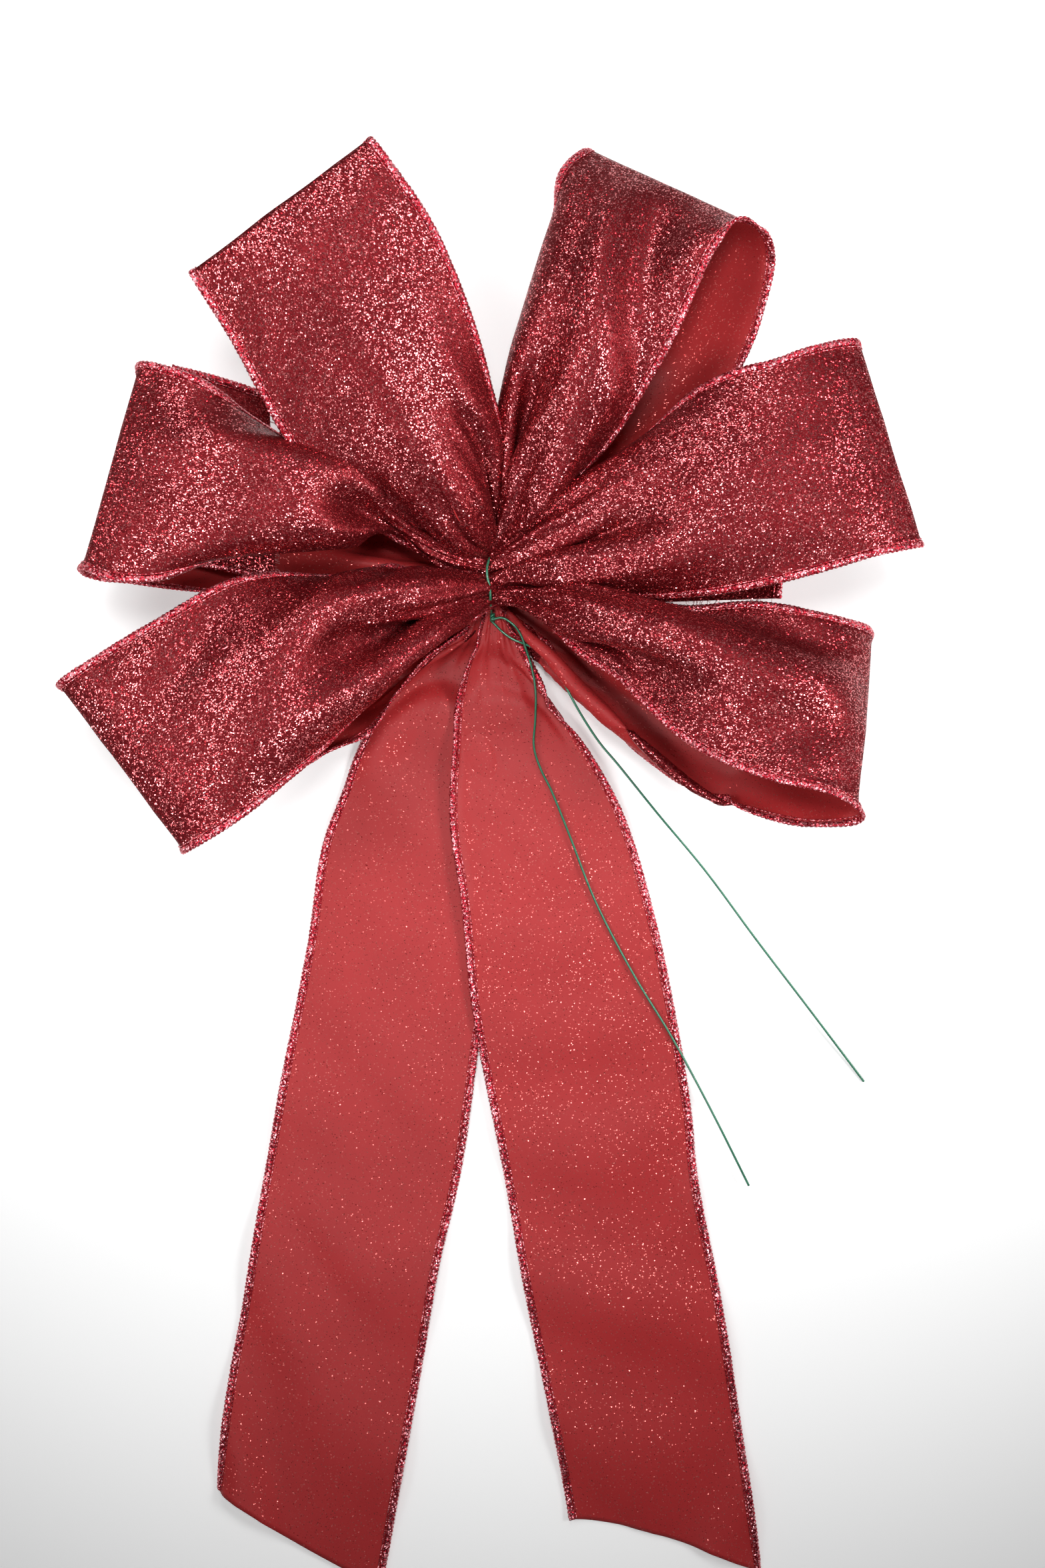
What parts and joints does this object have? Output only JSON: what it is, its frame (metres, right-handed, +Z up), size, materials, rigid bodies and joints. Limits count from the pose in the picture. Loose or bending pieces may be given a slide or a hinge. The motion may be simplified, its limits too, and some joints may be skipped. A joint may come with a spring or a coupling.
{
  "type": "gift bow",
  "caption": "Hand-tied gift bow of wide wired ribbon: fanned loops and long tails gathered at a neck and tied with thin florist wire whose free ends are left long.",
  "frame": {"origin": "on the surface that the bow lies on, straight below the knot, at the back of the gathered neck", "axes": "+Y from the tails to the top loops, +Z up from the surface to the bow's front, +X to the right seen from the front"},
  "size_m": [0.2689, 0.4916, 0.0825],
  "materials": {
    "ribbon": "metallic glitter cloth outside, matte satin lining inside",
    "edging": "overlocked metallic thread",
    "edge_wire": "fine drawn wire",
    "tie_wire": "green enamel"
  },
  "bodies": {
    "neck": {"gathered_neck": "ribbon", "tie_wire_ring": "tie_wire", "tie_wire_twist": "tie_wire", "tie_wire_end_left": "tie_wire", "tie_wire_end_right": "tie_wire"},
    "top_left_loop_body": {"top_left_loop": "ribbon", "top_left_loop_left_edging": "edging", "top_left_loop_right_edging": "edging", "top_left_loop_edge_wires": "edge_wire"},
    "top_right_loop_body": {"top_right_loop": "ribbon", "top_right_loop_left_edging": "edging", "top_right_loop_right_edging": "edging", "top_right_loop_edge_wires": "edge_wire"},
    "left_loop_body": {"left_loop": "ribbon", "left_loop_left_edging": "edging", "left_loop_right_edging": "edging", "left_loop_edge_wires": "edge_wire", "left_loop_tucked_end": "ribbon", "left_loop_tucked_end_edging": "edging"},
    "right_loop_body": {"right_loop": "ribbon", "right_loop_left_edging": "edging", "right_loop_right_edging": "edging", "right_loop_edge_wires": "edge_wire", "right_loop_tucked_end": "ribbon", "right_loop_tucked_end_edging": "edging"},
    "low_left_loop_body": {"low_left_loop": "ribbon", "low_left_loop_left_edging": "edging", "low_left_loop_right_edging": "edging", "low_left_loop_edge_wires": "edge_wire"},
    "low_right_loop_body": {"low_right_loop": "ribbon", "low_right_loop_left_edging": "edging", "low_right_loop_right_edging": "edging", "low_right_loop_edge_wires": "edge_wire"},
    "left_tail_body": {"left_tail": "ribbon", "left_tail_left_edging": "edging", "left_tail_right_edging": "edging", "left_tail_edge_wires": "edge_wire"},
    "right_tail_body": {"right_tail": "ribbon", "right_tail_left_edging": "edging", "right_tail_right_edging": "edging", "right_tail_edge_wires": "edge_wire"}
  },
  "joints": [
    {"name": "top_left_loop_lift", "type": "hinge", "parent": "neck", "child": "top_left_loop_body", "pos_m": [-0.00773, 0.01286, 0.012], "axis": [0.8572, 0.515, 0], "range_deg": [-12, 14]},
    {"name": "top_right_loop_lift", "type": "hinge", "parent": "neck", "child": "top_right_loop_body", "pos_m": [0.00658, 0.01348, 0.012], "axis": [0.8988, -0.4384, 0], "range_deg": [-12, 14]},
    {"name": "left_loop_lift", "type": "hinge", "parent": "neck", "child": "left_loop_body", "pos_m": [-0.01455, 0.00363, 0.012], "axis": [0.2419, 0.9703, 0], "range_deg": [-12, 14]},
    {"name": "right_loop_lift", "type": "hinge", "parent": "neck", "child": "right_loop_body", "pos_m": [0.01431, 0.00451, 0.012], "axis": [0.3007, -0.9537, 0], "range_deg": [-12, 14]},
    {"name": "low_left_loop_lift", "type": "hinge", "parent": "neck", "child": "low_left_loop_body", "pos_m": [-0.01299, -0.0075, 0.012], "axis": [-0.5, 0.866, 0], "range_deg": [-12, 14]},
    {"name": "low_right_loop_lift", "type": "hinge", "parent": "neck", "child": "low_right_loop_body", "pos_m": [0.01365, -0.00622, 0.012], "axis": [-0.4147, -0.91, 0], "range_deg": [-12, 14]},
    {"name": "left_tail_swing", "type": "hinge", "parent": "neck", "child": "left_tail_body", "pos_m": [-0.009, -0.014, 0.006], "axis": [0, 0, 1], "range_deg": [-25, 0]},
    {"name": "right_tail_swing", "type": "hinge", "parent": "neck", "child": "right_tail_body", "pos_m": [0.005, -0.014, 0.006], "axis": [0, 0, 1], "range_deg": [0, 15]}
  ]
}
